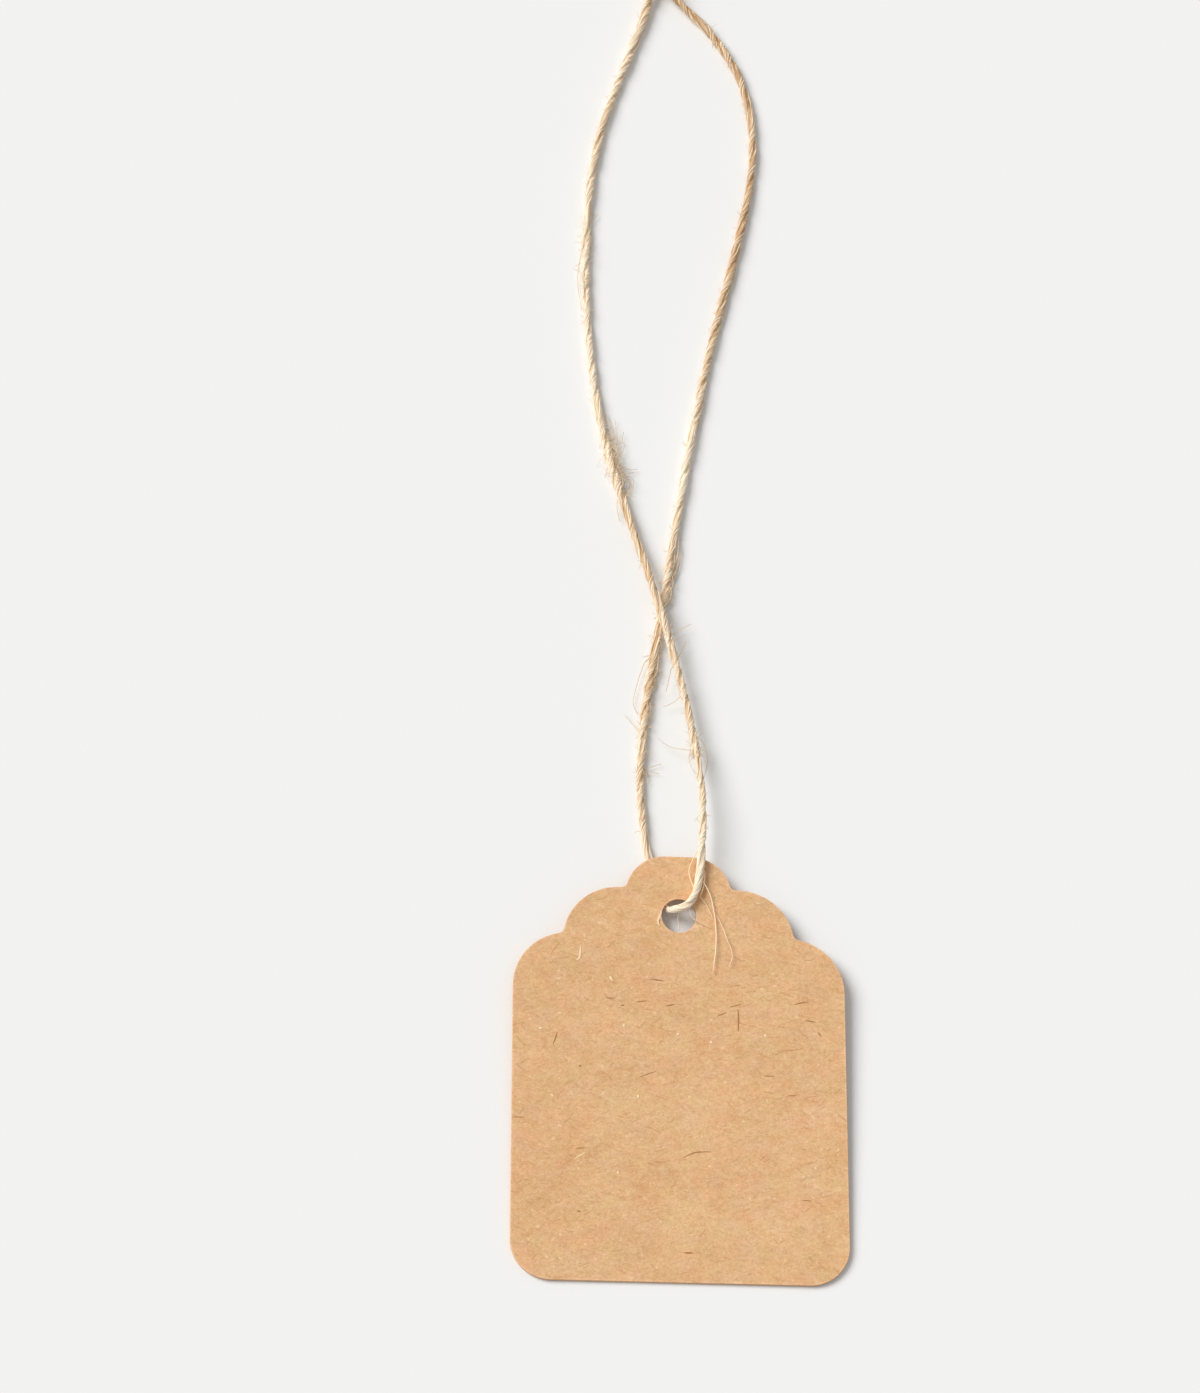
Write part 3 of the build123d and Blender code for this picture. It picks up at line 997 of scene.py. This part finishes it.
def short_hairs(s, line, rng):
    """Short hairs all along the twine past the card, and more of them where it is worn."""
    ahead, side, up = carried_frames(line)
    clear_of_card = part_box("tag_card")[1].y + PAST_CARD
    roots = [(rng.randrange(len(line)), SHORT_HAIR, USUAL_LEAN, 0) for _ in range(s.hairs)]
    for place, half_length, count, longest, _, worn_side in WORN_STRETCHES:
        middle, spread = nearest(line, place), 0.6 * (half_length / s.step)
        roots += [(int(rng.gauss(middle, spread)), longest, WORN_LEAN, worn_side) for _ in range(count)]
    hairs = []
    for i, longest, lean, worn_side in roots:
        if line[i][1] < clear_of_card:
            continue
        outward = any_way_out(side[i], up[i], rng)
        if outward.x * worn_side < 0 and rng.random() < 0.8:
            outward.x = -outward.x
        heading = outward + Vector(ahead[i]) * rng.choice((-1, 1)) * rng.uniform(lean, 6 * lean)
        root = Vector(line[i]) + outward * HAIR_ROOT * s.diameter
        length = rng.uniform(0.3, 1) * longest
        curl = rng.gauss(0, 1.6)
        hairs.append(hair(root, heading, length, curl, rng))
    return hairs


def frayed_hairs(s, line, rng):
    """Hairs that fan out of the twine's two cut ends."""
    ahead, side, up = carried_frames(line)
    hairs = []
    for i, way in ((FRAYED_RING, -1), (len(line) - 1 - FRAYED_RING, 1)):
        for _ in range(FRAYED_HAIRS):
            outward = any_way_out(side[i], up[i], rng)
            root = Vector(line[i]) + outward * rng.uniform(0, 0.6) * s.diameter
            heading = way * Vector(ahead[i]) + rng.uniform(0, 0.7) * outward
            length = rng.uniform(*FRAYED_LENGTHS)
            curl = rng.gauss(0, 0.9)
            hairs.append(hair(root, heading, length, curl, rng))
    return hairs


def bowed_strands(s, line, rng):
    """Strands that have slipped out of the twine where it is worn, and bow out to one side."""
    strands = []
    for place, half_length, _, _, reach, worn_side in WORN_STRETCHES:
        middle = nearest(line, place)
        for _ in range(BOWED_STRANDS):
            half = rng.uniform(0.25, 0.7) * half_length
            start = middle + int(rng.uniform(-0.8, 0.8) * half_length / s.step)
            first, last = start - int(half / s.step), start + int(half / s.step)
            bow = Vector((rng.gauss(worn_side, 0.35), rng.gauss(0, 0.3), rng.gauss(0.2, 0.3))) * reach
            points = []
            for i in range(first, last + 1):
                share = math.sin(math.pi * (i - first) / max(last - first, 1))
                point = Vector(line[i]) + bow * share + bow.normalized() * BOWED_ROOT * s.diameter
                point.z = max(point.z, BOWED_HEIGHT)
                points.append(point)
            strands.append(points)
    return strands


def fluff(line):
    """The loose fibres beside the twine, which sink towards the table."""
    hairs = []
    for fibre in FLUFF:
        root_x, root_y, start = line[nearest(line, fibre[0])]
        flat = smooth_line([(root_x, root_y, 0), *((x, y, 0) for x, y in fibre)], FIBRE_RESOLUTION)
        heights = np.linspace(start, FLUFF_SINK * start + FLUFF_LIFT, len(flat))
        hairs.append([(x, y, z) for (x, y, _), z in zip(flat, heights)])
    return hairs


def floss():
    """The long loose fibres over the card, each with its width."""
    height = card_surface()
    hairs = []
    for width, fibre in LOOSE_FIBRES:
        flat = smooth_line(fibre, FIBRE_RESOLUTION)
        hairs.append((width, [(x, y, height(x, y) + lift) for x, y, lift in flat]))
    return hairs


def make_hairs(s, line):
    """All the loose fibres of the twine, as one piece."""
    rng = random.Random(HAIR_SEED)
    families = (
        (short_hairs(s, line, rng), s.hair_width),
        (frayed_hairs(s, line, rng), s.hair_width),
        (bowed_strands(s, line, rng), BOWED_WIDTH * s.diameter),
        (fluff(line), s.long_hair_width),
    )
    hairs, radii = [], []
    for family, width in families:
        for points in family:
            hairs.append(points)
            radii.append(width / s.hair_width * np.linspace(1.1, 0.7, len(points)))
    # The numbers of the materials below: hairs first, then floss
    kinds = [0] * len(hairs)
    for width, points in floss():
        hairs.append(points)
        tapered = np.minimum(1, 3 * np.sin(np.linspace(0.12, math.pi - 0.12, len(points))))
        radii.append(width * s.long_hair_width / s.hair_width * tapered)
        kinds.append(1)
    straw, tan = Vector(s.straw), Vector(s.tan)
    # The floss is paler than the other hairs: painted light, for the light that shines through it.
    materials = hair_material("jute_hair", straw.lerp(tan, 0.25)), hair_material("jute_floss", s.floss)
    mesh = tubes("twine_hairs", hairs, s.hair_width, materials, 0, radii, kinds)
    sides = len(mesh.vertices) // sum(map(len, hairs))
    rings = np.array([v.co for v in mesh.vertices]).reshape(-1, sides, 3)
    middles = rings.mean(1, keepdims=True)
    ribbons = middles + (rings - middles) * (1, 1, HAIR_FLATNESS)
    ribbons[..., 2] = np.maximum(ribbons[..., 2], 0)
    mesh.vertices.foreach_set("co", ribbons.ravel())
    return add_piece("twine_hairs", mesh, "twine", "jute_twine")


def make_floor(s):
    """The pale floor."""
    bm = bmesh.new()
    bmesh.ops.create_grid(bm, x_segments=1, y_segments=1, size=FLOOR_REACH)
    mesh = bpy.data.meshes.new("floor")
    bm.to_mesh(mesh)
    bm.free()
    floor = add_object("floor", mesh)
    material, _, shader = new_material("floor_paint")
    shader.inputs["Base Color"].default_value = (*s.floor, 1)
    shader.inputs["Roughness"].default_value = 1.0
    shader.inputs["Specular IOR Level"].default_value = 0.0
    mesh.materials.append(material)


def make_light(s):
    """Soft light from the upper left, and even light from all round."""
    light = bpy.data.lights.new("key_lamp", "SUN")
    light.energy = s.key
    light.angle = s.key_spread
    lamp = add_object("key_lamp", light)
    lamp.location = KEY_LAMP_FROM
    lamp.rotation_euler = Vector(KEY_LAMP_FROM).to_track_quat("Z", "Y").to_euler()
    world = bpy.data.worlds.new("studio")
    world.use_nodes = True
    tree = world.node_tree
    rays = node(tree, "ShaderNodeLightPath").outputs
    mirrored = maths(tree, "MAXIMUM", rays["Is Glossy Ray"], rays["Is Transmission Ray"])
    seen = maths(tree, "MAXIMUM", rays["Is Camera Ray"], mirrored)
    strength = maths(tree, "MULTIPLY_ADD", seen, s.backdrop - s.sky, s.sky)
    background = tree.nodes["Background"]
    background.inputs["Color"].default_value = (1, 1, 1, 1)
    tree.links.new(strength, background.inputs["Strength"])
    bpy.context.scene.world = world


def make_camera(s):
    """The camera, which looks down at the tag from its plain end."""
    camera = bpy.data.cameras.new("camera")
    camera.lens = s.lens
    camera.sensor_width = SENSOR_WIDTH
    holder = add_object("camera", camera)
    turn = Euler(CAMERA_TURN)
    holder.rotation_euler = turn
    holder.location = Vector(CAMERA_AIM) + turn.to_matrix() @ Vector((0, 0, CAMERA_DISTANCE))
    bpy.context.scene.camera = holder


class GIFTTAG_OT_card(bpy.types.Operator):
    """Make the die-cut card and the fibres in its face"""

    bl_idname = "gifttag.card"
    bl_label = "Card"

    def execute(self, context):
        make_card(context.scene.gifttag_card)
        make_card_fibres(context.scene.gifttag_card)
        return {"FINISHED"}


class GIFTTAG_OT_twine(bpy.types.Operator):
    """Make the twine's loop, knot and cut ends, with its loose fibres"""

    bl_idname = "gifttag.twine"
    bl_label = "Twine"

    def execute(self, context):
        settings = context.scene.gifttag_twine
        twine, line = make_twine(settings)
        hairs = make_hairs(settings, line)
        length = float(lengths_along(line)[-1])
        return {"FINISHED"}


class GIFTTAG_OT_stage(bpy.types.Operator):
    """Make the floor, the light and the camera"""

    bl_idname = "gifttag.stage"
    bl_label = "Stage"

    def execute(self, context):
        make_floor(context.scene.gifttag_stage)
        make_light(context.scene.gifttag_stage)
        make_camera(context.scene.gifttag_stage)
        context.scene.view_settings.view_transform = "Standard"
        return {"FINISHED"}


class GIFTTAG_PT_panel(bpy.types.Panel):
    """Lists the tag's pieces and their settings"""

    bl_idname = "GIFTTAG_PT_panel"
    bl_label = "Gift Tag"
    bl_space_type = "VIEW_3D"
    bl_region_type = "UI"
    bl_category = "Gift Tag"

    def draw(self, context):
        for name in ("card", "twine", "stage"):
            box = self.layout.box()
            box.operator(f"gifttag.{name}")
            settings = getattr(context.scene, f"gifttag_{name}")
            for key in settings.__annotations__:
                box.prop(settings, key)


SETTINGS = {"gifttag_card": CardSettings, "gifttag_twine": TwineSettings, "gifttag_stage": StageSettings}
CLASSES = (*SETTINGS.values(), GIFTTAG_OT_card, GIFTTAG_OT_twine, GIFTTAG_OT_stage, GIFTTAG_PT_panel)


def register():
    """Register the classes and give every scene the settings."""
    for cls in CLASSES:
        bpy.utils.register_class(cls)
    for name, group in SETTINGS.items():
        setattr(bpy.types.Scene, name, PointerProperty(type=group))


def unregister():
    """Take the settings and the classes away again."""
    for name in SETTINGS:
        delattr(bpy.types.Scene, name)
    for cls in reversed(CLASSES):
        bpy.utils.unregister_class(cls)


def main():
    """Dress the tag."""
    register()
    bpy.ops.gifttag.stage()
    bpy.ops.gifttag.card()
    bpy.ops.gifttag.twine()


if __name__ == "__main__":
    main()
